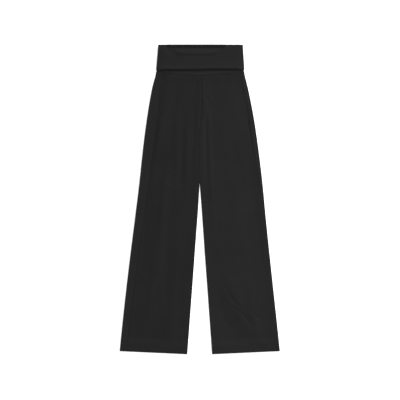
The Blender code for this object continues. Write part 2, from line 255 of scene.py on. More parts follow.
SHORT_CREASES = (
    (-161, 330, 115, 6, -1, -8.7, 0),
    (-189, 560, 150, 8, -0.8, -7.9, 0),
    (31, 203, 16, 3, -1, 19, 0),
    (24, 262, 18, 2.8, -1, -10, 1),
    (23, 316, 18, 3, -1, 4, 0),
    (-9, 313, 19, 3.4, -1, -22, 1),
    (26, 395, 70, 4, -0.9, 2, 1),
    (-18, 250, 85, 8, -0.8, 1, -1),
    (-27, 405, 90, 5, -0.7, -1.5, 2),
    (-63, 415, 80, 6, -0.7, -3, -2),
    (-12, 150, 24, 3, -0.5, 2, 0),
    (19, 215, 40, 5, 0.7, 2, 0),
    (52, 292, 34, 4.5, -0.4, 24, 4),
    (-52, 285, 34, 4.5, -0.6, -27, -4),
    (-86, 252, 34, 5, -0.5, -38, -5),
    (166, 215, 22, 3.6, -0.8, 9, 0),
    (172, 262, 18, 3.6, -0.9, -12, 1),
    (178, 318, 26, 4, -0.7, 10, 1),
    (-150, 205, 18, 4, -0.6, -24, 0),
    (-148, 262, 16, 4, 0.5, 30, 0),
    (122, 912, 30, 4.5, -1, 42, 3),
    (144, 950, 22, 4, -0.9, 47, -2),
    (174, 984, 16, 3.6, -0.9, 44, 1),
    (186, 962, 15, 3.6, 0.7, 50, -1),
    (205, 968, 12, 3.4, -0.7, 58, 1),
    (98, 988, 34, 6, -0.7, 33, 3),
    (72, 905, 70, 10, -0.6, 9, 3),
    (92, 822, 22, 5, 0.6, 45, 0),
    (208, 905, 26, 5, 0.5, 30, 2),
    (-112, 700, 90, 6, -0.6, -4, 3),
    (-196, 700, 80, 8, -0.6, -8, -3),
    (-150, 420, 60, 7, -0.5, -9, 2),
    (-128, 505, 45, 6, 0.6, -7, 2),
    (-210, 985, 60, 9, 0.7, -8, 3),
    (-140, 1010, 45, 8, -0.6, -4, -3),
    (-108, 505, 34, 5, 0.5, 60, 2),
    (-92, 455, 26, 4, 0.5, 78, 2),
    (-100, 428, 22, 4, 0.4, 84, 1),
    (150, 420, 70, 8, 0.4, 10, -4),
    (186, 560, 70, 8, -0.4, 9, 3),
    (96, 720, 90, 8, -0.4, 6, 3),
    (70, 560, 70, 7, 0.4, 4, -2),
    (-60, 180, 40, 9, 0.5, -10, 2),
    (-129, 117, 13, 4.5, -0.9, -8, 0),
    (134, 115, 10, 6, -0.7, 40, 0),
)
FOLD_FADE = 16.0  # a long fold dies out this near an edge
CREASE_FADE = 6.0
SLACK = 0.16  # height of the faint unevenness all over
SLACK_SLANT = 0.4  # below 1, its waves run more nearly straight down
# pitch, turn in degrees, start
SLACK_WAVES = ((61.0, 8.0, 0.3), (43.0, -21.0, 1.9), (31.0, 15.0, 4.1), (97.0, -4.0, 2.2))


def crease_height(table, across, down):
    """Sum of a table's creases at places on the garment."""
    height = np.zeros(np.broadcast(across, down).shape)
    for middle, low, half_length, half_width, peak, turn, bow in table:
        angle = math.radians(turn)
        dx, dy = across - middle, down - low
        along = (dy * math.cos(angle) + dx * math.sin(angle)) / half_length
        aside = (dx * math.cos(angle) - dy * math.sin(angle) - bow * along**2) / half_width
        height += peak * np.exp(-(along**2 + aside**2) / 2)
    return height


def slack_height(across, down):
    """Faint unevenness: a few long waves that cross at small angles."""
    height = 0.0
    for pitch, turn, start in SLACK_WAVES:
        angle = math.radians(turn)
        along = across * math.cos(angle) + down * math.sin(angle) * SLACK_SLANT
        height = height + np.sin(2 * math.pi * along / pitch + start)
    return SLACK * height / len(SLACK_WAVES)


print(f"{len(LONG_FOLDS)} long folds and {len(SHORT_CREASES)} short creases")

# %% [markdown]
# ## Seams
#
# A seam shows as a narrow groove, because the cloth turns down into it on both sides, and the
# thread draws it up into faint puckers. Both are a height that depends only on how far a point is
# from the seam and how far along it lies.

# %% Height of the cloth beside a seam
# depth of the groove, half width of the groove
SEAM_GROOVES = {
    "centre, right": (1.0, 1.9),
    "centre, left": (1.0, 3.8),
    "side, right": (1.0, 3.4),
    "side, left": (0.4, 4.2),
    "waist": (0.18, 1.8),
}
PUCKER_HEIGHT = 0.13
PUCKER_REACH = 7.0  # how far from the seam the puckers die out
PUCKER_PITCHES = (9.7, 13.3, 23.9)
ALLOWANCE_WIDTH = 7.5  # the sewn edges inside lie to one side of the seam
ALLOWANCE_HEIGHT = 0.3
ALLOWANCE_SLOPE = 2.0  # width over which the cloth comes down from them


def seam_height(kind, distance, along, allowance=False):
    """Height that a seam adds to the cloth beside it, below zero in its groove."""
    depth, half_width = SEAM_GROOVES[kind]
    pucker = sum(np.sin(2 * math.pi * along / pitch + pitch) for pitch in PUCKER_PITCHES)
    height = pucker / len(PUCKER_PITCHES) * PUCKER_HEIGHT * np.exp(-distance / PUCKER_REACH)
    if allowance:
        height = height + ALLOWANCE_HEIGHT * smooth((ALLOWANCE_WIDTH - distance) / ALLOWANCE_SLOPE)
    return height - depth * np.exp(-((distance / half_width) ** 2))


print("grooves beside the seams:", SEAM_GROOVES)

# %% [markdown]
# ## A leg panel, section by section
#
# A panel is a grid of points halfway through the cloth. Each row is a section across the leg. A
# front panel starts halfway up the inner fold, rolls over it and runs to the side seam. A back
# panel starts at that seam, on top of the front, goes round the side fold and lies flat underneath
# as far as the inner fold. Above the crotch there is no inner fold, and the panels simply meet at
# the centre seams: `sink` blends from that plain edge to the full roll. The back's waist seam dips
# lower than the front's, so the back panel slants towards its own seam once it is underneath.
#
# Drawing these sections by hand in Edit Mode would work for one size only. As a function, the same
# few lines serve both legs and every row.

# %% Sections of the leg panels
ARC_STEPS = 9  # steps in a quarter turn
FRONT_COLUMNS = 88
WRAP_COLUMNS = 11
BACK_COLUMNS = 36
BESIDE_SEAM = (0.0, 0.3, 0.8, 1.5)  # closer points, this far from a seam
SEAM_ZONE = 2.4
SIDE_FOLD_LIFT = {-1: (9.0, 1.0), 1: (17.0, 2.0)}  # reach of the fold inwards, fullness
SIDE_FOLD_RISE = {-1: 0.8, 1: 0.0}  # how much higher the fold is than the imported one
SIDE_FOLD_DIP = {-1: 0.0, 1: 1.6}  # and how much it rounds down towards its tip
SIDE_FOLD_DIP_REACH = 8.5
INNER_FOLD_REACH = 14.0
PARTING_EASE = 30.0  # length over which the legs come apart
SEAM_START = 0.35  # just below the waist seam, the other seams are this share of their depth
SEAM_START_REACH = 14.0
WAIST_RISE = 32.0  # length over which the body rises from the waist seam to its own height
BACK_SEAM_SHIFT = 1.6  # the centre back seam lies this far beside the front one
LEG_LEAN = 0.4  # where the legs touch, one fold leans a little over the other
LEG_SQUEEZE = 0.07  # and they press into each other
LEG_LEAN_REACH = 4.0
UNDER = PLY / 2
PLY_CLEARANCE = 0.05  # the front stays at least this far from the back ply
HEM_ROLL = (PLY + PLY_GAP) / 2
HEM_PRESS = 0.4  # the stitching presses the hem by this much
HEM_PRESS_HALF_WIDTH = 1.2
STITCH_ROWS = (14.0, 20.0)  # rows of stitching, above the hem's edge


def spaced(start, end, count, seam_at_start=False, seam_at_end=False):
    """Places from start to end, with closer ones beside a seam."""
    onward = 1.0 if end > start else -1.0
    first = [start + onward * step for step in BESIDE_SEAM] if seam_at_start else []
    last = [end - onward * step for step in reversed(BESIDE_SEAM)] if seam_at_end else []
    low = start + onward * SEAM_ZONE * seam_at_start
    high = end - onward * SEAM_ZONE * seam_at_end
    return np.concatenate([first, np.linspace(low, high, count + 1), last])


def quarter_turn(sink):
    """Shares (inwards, down) from the tip of a fold at its mid-height to its top."""
    angles = np.linspace(0.0, math.pi / 2, ARC_STEPS + 1)
    across = mix(np.linspace(0.0, 1.0, ARC_STEPS + 1), 1 - np.cos(angles), sink)
    return across, sink * (1 - np.sin(angles))


def edge_lean(sink, radius):
    """How far a cut edge leans past the middle of its cloth, where its first step sinks."""
    across, drop = quarter_turn(sink)
    fall = (drop[0] - drop[1]) * (radius - SEAM_GAP / 2)
    return PLY / 2 * math.sin(math.atan2(fall, (across[1] - across[0]) * radius))


def stitch_press(above_edge):
    """How far the rows of stitching press the hem in."""
    return HEM_PRESS * sum(
        np.exp(-(((above_edge - row) / HEM_PRESS_HALF_WIDTH) ** 2)) for row in STITCH_ROWS
    )


def leg_section(side, part, share, inset=0.0, past=0.0):
    """One section of a leg panel, share of the way from the waist seam to the hem.

    inset moves it towards the inside of the leg, for the turned-up hem, and past moves it further
    down than its place, for the roll of the hem.
    """
    hem_ply = HEM_ROLL + PLY / 2
    seam_drop = (1 - share) * BACK_SEAM_DROP if part == "back" else 0.0
    down_front = mix(SEAM_AT_CENTRE + SEAM_GAP / 2, LENGTH - hem_ply, share)
    down_in = down_front + seam_drop
    down_out = mix(SEAM_AT_SIDE + SEAM_GAP / 2, OUTER_LENGTH - hem_ply, share)
    from_waist = share * (OUTER_LENGTH - SEAM_AT_SIDE)
    sink = float(smooth((down_in - CROTCH + CROTCH_EASE) / CROTCH_EASE))
    below_seam = smooth((down_out - SEAM_AT_SIDE) / WAIST_RISE)
    hem = smooth((down_out - (OUTER_LENGTH - HEM_DEPTH - HEM_EASE)) / HEM_EASE)
    rest = mix(mix(WAIST_TOP, REST_TOP, below_seam), HEM_TOP, hem) - PLY / 2
    fold = mix(mix(WAIST_TOP, FOLD_TOP + SIDE_FOLD_RISE[side], below_seam), HEM_TOP, hem) - PLY / 2
    inner_top = mix(rest, mix(INNER_FOLD_TOP - PLY / 2, HEM_TOP - PLY / 2, hem), sink)
    inner_radius = (inner_top - UNDER) / 2
    outer_radius = (fold - UNDER) / 2
    middle = UNDER + inner_radius
    press = 0.0 if inset else stitch_press(OUTER_LENGTH - hem_ply - down_out)

    spread = parting[side](down_in)
    touching = sink * (1 - smooth((down_in - PARTING) / PARTING_EASE))
    seam_shift = BACK_SEAM_SHIFT * (1 - sink) if part == "back" else 0.0
    gap = SEAM_GAP / 2 - LEG_SQUEEZE * touching
    inner_edge = side * (centre_seam(down_in) + seam_shift) + gap + spread
    near = inner_edge + edge_lean(sink, inner_radius)
    far = body_reach[side](down_out) - PLY / 2
    seam = body_reach[side](down_out) - seam_inset[side](down_out)

    def down_at(out, inner=down_front):
        """Distance down, from inner at the inner leg to down_out at the side fold."""
        u = np.clip((out - near) / (far - near), 0.0, 1.0)
        return mix(inner, down_out, u ** (2 - share))

    def seams(out):
        """Grooves and puckers of the three seams round the front."""
        if inset:
            return 0.0 * out
        wearer = "right" if side < 0 else "left"
        from_centre, from_side = np.abs(out - near), np.abs(out - seam)
        waist = seam_height("waist", from_waist + 0.0 * out, side * out, allowance=True)
        centre = seam_height(f"centre, {wearer}", from_centre, down_in, allowance=side < 0)
        beside = seam_height(f"side, {wearer}", from_side, down_in, allowance=part == "back")
        start = mix(SEAM_START, 1.0, smooth(from_waist / SEAM_START_REACH))
        return waist + ((1 - sink) * centre + beside) * start

    def front_height(out):
        """Height of the front, without the seams."""
        from_near = np.maximum(0.0, out - near - inner_radius)
        from_far = np.maximum(0.0, far - outer_radius - out)
        reach, fullness = SIDE_FOLD_LIFT[side]
        inner_lift = (inner_top - rest) * np.exp(-from_near / INNER_FOLD_REACH)
        side_lift = (fold - rest) * np.exp(-((from_far / reach) ** fullness))
        across, down = side * out, down_at(out)
        from_ends = np.minimum(from_waist, OUTER_LENGTH - HEM_DEPTH - down)
        room = np.minimum(np.minimum(from_near, from_far), np.maximum(from_ends, 0.0))
        dip = SIDE_FOLD_DIP[side] * np.exp(-((from_far / SIDE_FOLD_DIP_REACH) ** 2))
        height = rest + np.maximum(inner_lift, side_lift) - dip * below_seam * (1 - hem)
        height = height + crease_height(LONG_FOLDS, across, down) * smooth(room / FOLD_FADE)
        height = height + crease_height(SHORT_CREASES, across, down) * smooth(room / CREASE_FADE)
        return height + slack_height(across, down) * smooth(room / FOLD_FADE)

    def lowered(out, height):
        """Adds the seams, and keeps the front clear of the back ply below it."""
        return np.maximum(height + seams(out) - press, 3 * PLY / 2 + PLY_CLEARANCE) - inset

    across, drop = quarter_turn(sink)
    roll_out = near + inner_radius - (inner_radius - inset) * (1 - across)
    roll_fall = (inner_radius - inset - SEAM_GAP / 2) * drop
    if part == "front":
        body = spaced(near + inner_radius, seam - SEAM_GAP / 2, FRONT_COLUMNS, True, True)[1:]
        roll_height = lowered(roll_out, np.full(len(roll_out), inner_top)) - roll_fall
        height = np.concatenate([roll_height, lowered(body, front_height(body))])
        out = np.concatenate([roll_out, body])
        underneath = np.zeros(len(out), bool)
    else:
        wrap = spaced(seam + SEAM_GAP / 2, far - outer_radius, WRAP_COLUMNS, True)[:-1]
        angles = math.pi / 2 * (1 - np.arange(2 * ARC_STEPS + 1) / ARC_STEPS)
        side_out = far - outer_radius + (outer_radius - inset) * np.cos(angles)
        side_height = UNDER + outer_radius + (outer_radius - inset) * np.sin(angles)
        start_of_fold = np.array([far - outer_radius])
        top_of_fold = lowered(start_of_fold, front_height(start_of_fold))[0] + inset - fold
        side_height = side_height + top_of_fold * np.maximum(0.0, np.sin(angles))
        side_height = side_height + press * np.maximum(0.0, -np.sin(angles))
        flat = spaced(far - outer_radius, near + inner_radius, BACK_COLUMNS, False, True)[1:-1]
        height = np.concatenate(
            [
                lowered(wrap, front_height(wrap)),
                side_height,
                np.full(len(flat), UNDER + inset + press),
                UNDER + inset + press + roll_fall[::-1],
            ]
        )
        out = np.concatenate([wrap, side_out, flat, roll_out[::-1]])
        underneath = np.arange(len(out)) > len(wrap) + ARC_STEPS
    down = np.where(underneath, down_at(out, down_in), down_at(out)) + past
    lean = LEG_LEAN * (height - middle) * np.exp(-np.abs(out - near) / LEG_LEAN_REACH) * touching
    return np.column_stack([side * out + lean, down, height])


print("points across a front panel:", len(leg_section(1, "front", 0.5)))

# %% [markdown]
# ## A whole leg panel
#
# The rows run down the leg, round the roll at the bottom and back up inside: a turned-up hem is the
# same piece of cloth, so it is the same grid. The rows are closer together at the hem, where the
# stitching marks the cloth.

# %% Rows of a leg panel
ROW_STEP = 2.9
HEM_ROW_STEP = 1.0  # outside, where the stitching marks the cloth
HEM_ROWS_ABOVE = 6.0  # the closer rows start this far above the turned-up edge
HEM_INNER_STEP = 2.5  # inside
ROLL_STEPS = 8


def leg_grid(side, part):
    """All sections of a leg panel, as an array of rows, columns and (across, down, height)."""
    run = LENGTH - SEAM_AT_CENTRE
    hem_start = run - HEM_DEPTH - HEM_ROWS_ABOVE
    body = spaced(0.0, hem_start, round(hem_start / ROW_STEP), True)
    hem = np.linspace(hem_start, run, round((run - hem_start) / HEM_ROW_STEP) + 1)[1:]
    shares = np.concatenate([body, hem]) / run
    rows = [leg_section(side, part, share) for share in shares]
    for i in range(1, ROLL_STEPS):
        angle = math.pi * i / ROLL_STEPS
        inset, past = HEM_ROLL * (1 - math.cos(angle)), HEM_ROLL * math.sin(angle)
        rows.append(leg_section(side, part, 1.0, inset, past))
    inner_rows = round(HEM_DEPTH / HEM_INNER_STEP)
    for share in np.linspace(1, 1 - HEM_DEPTH / run, inner_rows + 1):
        rows.append(leg_section(side, part, share, 2 * HEM_ROLL))
    return np.array(rows)


print("rows and columns of a back panel:", leg_grid(1, "back").shape[:2])

# %% [markdown]
# ## The waistband
#
# Each half of the waistband runs from the waist seam up to the fold at the top, over it, and down
# again to a free edge. That free edge is itself a fold, because the waistband is doubled. So the
# grid is made in two steps: first the middle of the doubled wall, then its outer ply, the turn at
# the free edge and the inner ply, all as one long sheet.
#
# The front of the flap isn't flat. It stands a little off the ply below it. The fold at the top is
# a soft roll, and a second, lower roll lies across the upper half of the flap.

# %% Sections of the waistband
BAND_COLUMNS = 108
BAND_ARC_STEPS = 7
STAND_ROW_STEP = 2.4
STEP_ROWS = 10
STEP_CLEARANCE = 0.3  # the inner layer steps down this far below the flap's lowest place
FLAP_LOFT = 1.2  # how far the flap stands off the ply below it
FLAP_SIDE_EASE = 20.0  # length over which it rises from its side folds
FLAP_UNDER = BAND_WALL / 2
FLAP_LEVEL = FLAP_UNDER + 3 * BAND_STEP
EDGE_DROOP = 3.0  # how much lower the ends of the flap's free edge hang
EDGE_DROOP_REACH = 30.0
EDGE_RISE = 2.7  # how much higher it lies towards the wearer's left
EDGE_RISE_AT = (2.0, 20.0)
EDGE_LIFT = 1.0  # the free edge stands up a little
EDGE_LIFT_ABOVE = 4.5  # most of all this far above the edge
EDGE_LIFT_HALF_WIDTH = 5.5
TOP_ROLL = 3.4  # the fold at the top is higher than the flap below it
TOP_ROLL_FALL = (2.5, 13.5)  # from here to here down the flap it drops
TOP_ROLL_SPAN = (-104.0, 80.0)  # and it is flatter towards the sides
TOP_ROLL_EASE = 20.0
PUFF = 2.2  # height of the soft roll across the upper half of the flap
PUFF_START = 15.0
PUFF_END = 29.5  # at its middle
PUFF_FALL = 15.0  # length over which it drops to the lower half
PUFF_ENDS_RISE = 10.0  # how much higher its ends lie
PUFF_MIDDLE = -12.0
PUFF_HALF_SPAN = 80.0
PUFF_LEAST_LENGTH = 3.0
PUFF_ENDS = (0.78, 1.08)  # it dies out between these shares of its half span
BAND_CREASE_FADE = 12.0
# across, down, half length, half width, height, turn, bow
FLAP_CREASES = (
    (-112, 18, 18, 7, -0.6, 40, 0),
    (-126, 30, 18, 8, 0.5, 34, 0),
    (104, 48, 26, 8, -0.4, 108, 0),
    (126, 66, 16, 6, 0.4, 70, 0),
)
STAND_CREASES = (
    (-15, 105, 5, 7, 0.7, 0, 0),
    (14, 105, 5, 8, 0.7, 0, 0),
    (84, 106, 24, 3, -0.4, 86, 0),
    (-96, 104, 24, 3, -0.3, 94, 0),
)


def flap_height(across, down, room):
    """Height of the front flap above a tightly pressed one."""
    from_middle = np.abs(across - PUFF_MIDDLE) / PUFF_HALF_SPAN
    line = PUFF_END - PUFF_ENDS_RISE * from_middle**6
    line = np.maximum(line, PUFF_START + PUFF_LEAST_LENGTH)
    climb = np.clip((down - PUFF_START) / (line - PUFF_START), 0.0, 1.0)
    inner, outer = PUFF_ENDS
    puff = PUFF * smooth((outer - from_middle) / (outer - inner))
    puff = puff * climb * (1 - smooth((down - line) / PUFF_FALL))
    beyond = np.maximum(TOP_ROLL_SPAN[0] - across, across - TOP_ROLL_SPAN[1])
    start, end = TOP_ROLL_FALL
    roll = TOP_ROLL * (1 - smooth(beyond / TOP_ROLL_EASE))
    roll = roll * (1 - smooth((down - start) / (end - start)))
    from_edge = (down - FLAP_DEPTH + EDGE_LIFT_ABOVE) / EDGE_LIFT_HALF_WIDTH
    edge = EDGE_LIFT * np.exp(-(from_edge**2))
    loft = (FLAP_LOFT + roll + edge) * smooth(room / FLAP_SIDE_EASE) + puff
    loft = loft + crease_height(FLAP_CREASES, across, down) * smooth(room / BAND_CREASE_FADE)
    return np.maximum(loft, 0.0)


def band_section(part, down_of, low, high, reach, loft_share=0.0, rise=0.0, foot=None):
    """One section of the waistband's wall, from the right side fold to the left one.

    foot, where it is given, is the distance from the waist seam.
    """
    angles = np.linspace(0.0, math.pi / 2, BAND_ARC_STEPS + 1)
    radius = (high - low) / 2
    tip_across = radius * (1 - np.cos(angles))
    tip_drop = (radius - SEAM_GAP / 2) * (1 - np.sin(angles))
    right, left = -reach[0], reach[1]
    span = mix(right + radius, left - radius, np.linspace(0, 1, BAND_COLUMNS + 1)[1:-1])
    across = np.concatenate([right + tip_across, span, (left - tip_across)[::-1]])
    drop = np.concatenate([tip_drop, np.zeros(len(span)), tip_drop[::-1]])
    down = down_of(across)
    room = np.maximum(0.0, np.minimum(across - right, left - across) - radius)
    height = high - drop if part == "front" else low + drop
    if part == "front":
        height = height + loft_share * flap_height(across, down, room)
    if part == "front" and foot is not None:
        creases = crease_height(STAND_CREASES, across, down)
        height = height + creases * smooth(room / BAND_CREASE_FADE)
        height = height + seam_height("waist", foot, across) * (1 - drop / radius)
    return np.column_stack([across, down - rise, height])


def waist_seam(across, part):
    """Distance down of the waist seam, which sags towards the centre as the leg panels' tops do."""
    down = SEAM_AT_CENTRE + (BACK_SEAM_DROP if part == "back" else 0.0)
    middle = centre_seam(down) + (BACK_SEAM_SHIFT if part == "back" else 0.0)
    right = PLY / 2 - body_reach[-1](SEAM_AT_SIDE)
    left = body_reach[1](SEAM_AT_SIDE) - PLY / 2
    climb = ((across - middle) / (np.where(across > middle, left, right) - middle)) ** 2
    return mix(down, SEAM_AT_SIDE, np.minimum(1.0, climb)) + SEAM_LAP


def free_edge(across):
    """Distance down of the middle of the flap's free edge, whose ends droop."""
    reach = np.where(across > 0, band_reach[1](FLAP_DEPTH), band_reach[-1](FLAP_DEPTH))
    from_side = reach - np.abs(across) - FLAP_LEVEL
    droop = EDGE_DROOP * (1 - smooth(from_side / EDGE_DROOP_REACH))
    start, end = EDGE_RISE_AT
    rise = EDGE_RISE * smooth((across - start) / (end - start))
    return FLAP_DEPTH - BAND_WALL / 2 + droop - rise


def band_wall(part):
    """The middle of the doubled wall: up the inner layer, over the fold and down the flap."""
    half_step = BAND_STEP / 2
    fold_down = half_step + BAND_WALL / 2
    flap_end = FLAP_DEPTH + EDGE_DROOP + STEP_CLEARANCE
    covered = (flap_end - fold_down) / (SEAM_AT_SIDE - fold_down)
    stand_rows = round(FLAP_DEPTH / STAND_ROW_STEP)
    rows = []

    def add_row(line, share, low, high, reach, **more):
        """Adds the section that lies share of the way from the fold to a line."""

        def down_of(across):
            return mix(fold_down, line(across), share)

        rows.append(band_section(part, down_of, low, high, reach, **more))

    foot_length = SEAM_AT_SIDE * (1 - covered)
    shares = list(1 - spaced(0.0, foot_length, STEP_ROWS, True)[:-1] / SEAM_AT_SIDE)
    shares += list(covered * np.linspace(1, 0, stand_rows + 1))
    for share in shares:
        down = mix(fold_down, SEAM_AT_SIDE, share)
        settled = float(smooth((share - covered) / (1 - covered)))
        low = mix(FLAP_UNDER + BAND_STEP, FLAP_UNDER, settled)
        high = mix(FLAP_LEVEL - BAND_STEP, STAND_FOOT_TOP - BAND_WALL / 2, settled)
        reach = [
            mix(band_reach[side](down) - BAND_STEP, body_reach[side](down), settled) - BAND_WALL / 2
            for side in (-1, 1)
        ]
        foot = (1 - share) * SEAM_AT_SIDE if settled > 0 else None
        add_row(lambda across: waist_seam(across, part), share, low, high, reach, foot=foot)
    for i in range(1, ROLL_STEPS):
        angle = math.pi * i / ROLL_STEPS
        turned = (1 - math.cos(angle)) / 2
        inset = BAND_STEP * (1 - turned)
        reach = [band_reach[side](0.0) - BAND_WALL / 2 - inset for side in (-1, 1)]
        low, high = FLAP_UNDER + inset, FLAP_LEVEL - inset
        rise = half_step * math.sin(angle)
        add_row(free_edge, 0.0, low, high, reach, loft_share=turned, rise=rise)
    for share in np.linspace(0, 1, stand_rows + 1):
        down = mix(fold_down, FLAP_DEPTH, share)
        reach = [band_reach[side](down) - BAND_WALL / 2 for side in (-1, 1)]
        add_row(free_edge, share, FLAP_UNDER, FLAP_LEVEL, reach, loft_share=1.0)
    return np.array(rows)


def unit(vectors):
    return vectors / np.maximum(np.linalg.norm(vectors, axis=-1, keepdims=True), 1e-9)


def grid_normals(grid):
    """Unit normals of a grid of points."""
    return unit(np.cross(np.gradient(grid, axis=0), np.gradient(grid, axis=1)))


def band_grid(part):
    """The waistband as one long ply: up and over outside, round the free edge and back inside."""
    wall = band_wall(part)
    normals = grid_normals(wall)
    # The flap's outer side faces up on the front and down on the back.
    outward = 1.0 if part == "front" else -1.0
    if normals[-1, :, 2].mean() * outward < 0:
        normals = -normals
    onward = unit(wall[-1] - wall[-2])
    offset = (BAND_WALL - PLY) / 2
    turn = [
        wall[-1] + offset * (math.cos(angle) * normals[-1] + math.sin(angle) * onward)
        for angle in np.linspace(0, math.pi, ROLL_STEPS + 1)[1:-1]
    ]
    return np.concatenate([wall + offset * normals, turn, (wall - offset * normals)[::-1]])


print("rows and columns of half the waistband:", band_grid("front").shape[:2])

# %% [markdown]
# ## From a grid of points to cloth
#
# `from_pydata` makes the faces between the points, and the Solidify modifier gives the sheet its
# thickness on both sides of them. The knit needs to know how far along and across the cloth each
# point is, so a UV map holds those two distances in metres. They are measured along the cloth,
# over every fold, so the knit isn't stretched where the cloth turns.

# %% Build a sheet of cloth


def add_object(name, data):
    """A new object in the scene."""
    thing = bpy.data.objects.new(name, data)
    bpy.context.scene.collection.objects.link(thing)
    return thing


def mesh_object(name, points, faces, material):
    """A new object from points in the frame and the faces between them."""
    mesh = bpy.data.meshes.new(name)
    mesh.from_pydata(points, [], faces)
    mesh.materials.append(material)
    mesh.shade_smooth()
    return add_object(name, mesh)


def cloth_distances(grid):
    """Distance across, from the middle column, and down, along the cloth itself, in metres."""
    across = np.linalg.norm(np.diff(grid, axis=1), axis=2).cumsum(1)
    across = np.pad(across, ((0, 0), (1, 0)))
    across = across - across[:, [across.shape[1] // 2]]
    down = np.linalg.norm(np.diff(grid, axis=0), axis=2).cumsum(0)
    return across * MM, np.pad(down, ((1, 0), (0, 0))) * MM


def to_frame(places):
    """Points in the frame, in metres, from places on the garment, (across, down, height) in mm."""
    across, down, height = places.reshape(-1, 3).T
    return (np.stack([across, WAIST_FOLD - down, height], axis=-1) * MM).tolist()


def cloth_sheet(name, grid, material):
    """A ply of cloth whose middle runs through a grid of points."""
    rows, columns = grid.shape[:2]
    index = np.arange(rows * columns).reshape(rows, columns)
    corners = [index[:-1, :-1], index[1:, :-1], index[1:, 1:], index[:-1, 1:]]
    faces = np.stack(corners, axis=-1).reshape(-1, 4)
    sheet = mesh_object(name, to_frame(grid), faces.tolist(), material)
    across, down = cloth_distances(grid)
    uv = np.stack([across, down], axis=-1).reshape(-1, 2)[faces.reshape(-1)]
    layer = sheet.data.uv_layers.new(name="along_the_cloth")
    layer.data.foreach_set("uv", uv.reshape(-1).astype(np.float32))
    wall = sheet.modifiers.new("ply", "SOLIDIFY")
    wall.thickness = PLY * MM
    wall.offset = 0.0
    wall.use_even_offset = True
    return sheet


hem_corner = to_frame(np.array([0, LENGTH, 0]))[0]
print(f"the hems' inner corners lie at Y = {hem_corner[1]:.3f} m")

# %% [markdown]
# ## Black jersey
#
# Fine jersey shows columns of small V-shaped loops on its face. The loops are about 0.7 mm wide, so
# they are far too many to model, and a bump map carries them. It is worked out from the UV map: a
# column is a ramp folded in the middle, which gives its two legs, and a wave down each leg, slanted
# the other way on the other leg, gives the loops.
#
# Black cloth isn't all one black. A soft large noise stands for the nap lying one way or another,
# and a fine one for single fibres. Each leg and the waistband has a painted shade of its own, which
# stands in for the uneven light on them. The shine is low, with a little sheen from loose fibres.
#
# Two functions that the thread and the floor need too set a shader's sockets and blend two colours.

# %% Material of the jersey
WALE = 0.00072  # width of one column of loops
COURSE = 0.00056  # height of one loop
LOOP_SLANT = 1.6  # how steep the V is
LOOP_DEPTH = 0.32
KNIT_DEPTH = 0.00012
BLACKS = ((0.0117, 0.0117, 0.0119), (0.0158, 0.0157, 0.0158))  # nap lying away, nap lying towards
# Painted shade: each piece's blacks are scaled to stand in for light falling unevenly on it, darkest
# on the right leg.
PAINTED_SHADES = {"right": 0.89, "left": 0.98, "waistband": 1.01}  # shade of each leg and of the waistband
NAP_SCALE = 9.0
NAP_SHARE = 0.65  # the rest of the shade is the fibres'
FIBRE_SCALE = 1500.0
NAP_ROUGHNESS = (0.78, 0.94)  # nap lying away, nap lying towards


def new_material(name, sockets):
    """A material, its node tree and its shader, with values for its sockets."""
    material = bpy.data.materials.new(name)
    material.use_nodes = True
    shader = material.node_tree.nodes["Principled BSDF"]
    for socket, value in sockets.items():
        shader.inputs[socket].default_value = value
    return material, material.node_tree, shader


def colour_ramp(tree, share, places, colours):
    """From one colour to another, as share goes from one place to the other."""
    node = tree.nodes.new("ShaderNodeValToRGB")
    for element, place, colour in zip(node.color_ramp.elements, places, colours):
        element.position = place
        element.color = (*colour, 1.0)
    tree.links.new(share, node.inputs["Fac"])
    return node.outputs["Color"]


def math_node(tree, operation, *values):
    """A Math node whose inputs are numbers or the outputs of other nodes."""
    node = tree.nodes.new("ShaderNodeMath")
    node.operation = operation
    for socket, value in zip(node.inputs, values):
        if isinstance(value, (int, float)):
            socket.default_value = value
        else:
            tree.links.new(value, socket)
    return node.outputs[0]


def noise_node(tree, coordinates, scale, detail):
    node = tree.nodes.new("ShaderNodeTexNoise")
    node.inputs["Scale"].default_value = scale
    node.inputs["Detail"].default_value = detail
    tree.links.new(coordinates, node.inputs["Vector"])
    return node.outputs["Fac"]


def knit_height(tree):
    """Height of the knit's face, 0 to 1, from the distances along the cloth."""
    uv = tree.nodes.new("ShaderNodeUVMap")
    uv.uv_map = "along_the_cloth"
    parts = tree.nodes.new("ShaderNodeSeparateXYZ")
    tree.links.new(uv.outputs["UV"], parts.inputs[0])
    column = math_node(tree, "FRACT", math_node(tree, "DIVIDE", parts.outputs["X"], WALE))
    from_middle = math_node(tree, "ABSOLUTE", math_node(tree, "SUBTRACT", column, 0.5))
    leg = math_node(tree, "SINE", math_node(tree, "MULTIPLY", from_middle, 2 * math.pi))
    slanted = math_node(tree, "DIVIDE", parts.outputs["Y"], COURSE)
    slanted = math_node(tree, "ADD", slanted, math_node(tree, "MULTIPLY", from_middle, LOOP_SLANT))
    loop = math_node(tree, "SINE", math_node(tree, "MULTIPLY", slanted, 2 * math.pi))
    loop = math_node(tree, "MULTIPLY_ADD", loop, LOOP_DEPTH, 1 - LOOP_DEPTH)
    return math_node(tree, "MULTIPLY", leg, loop)


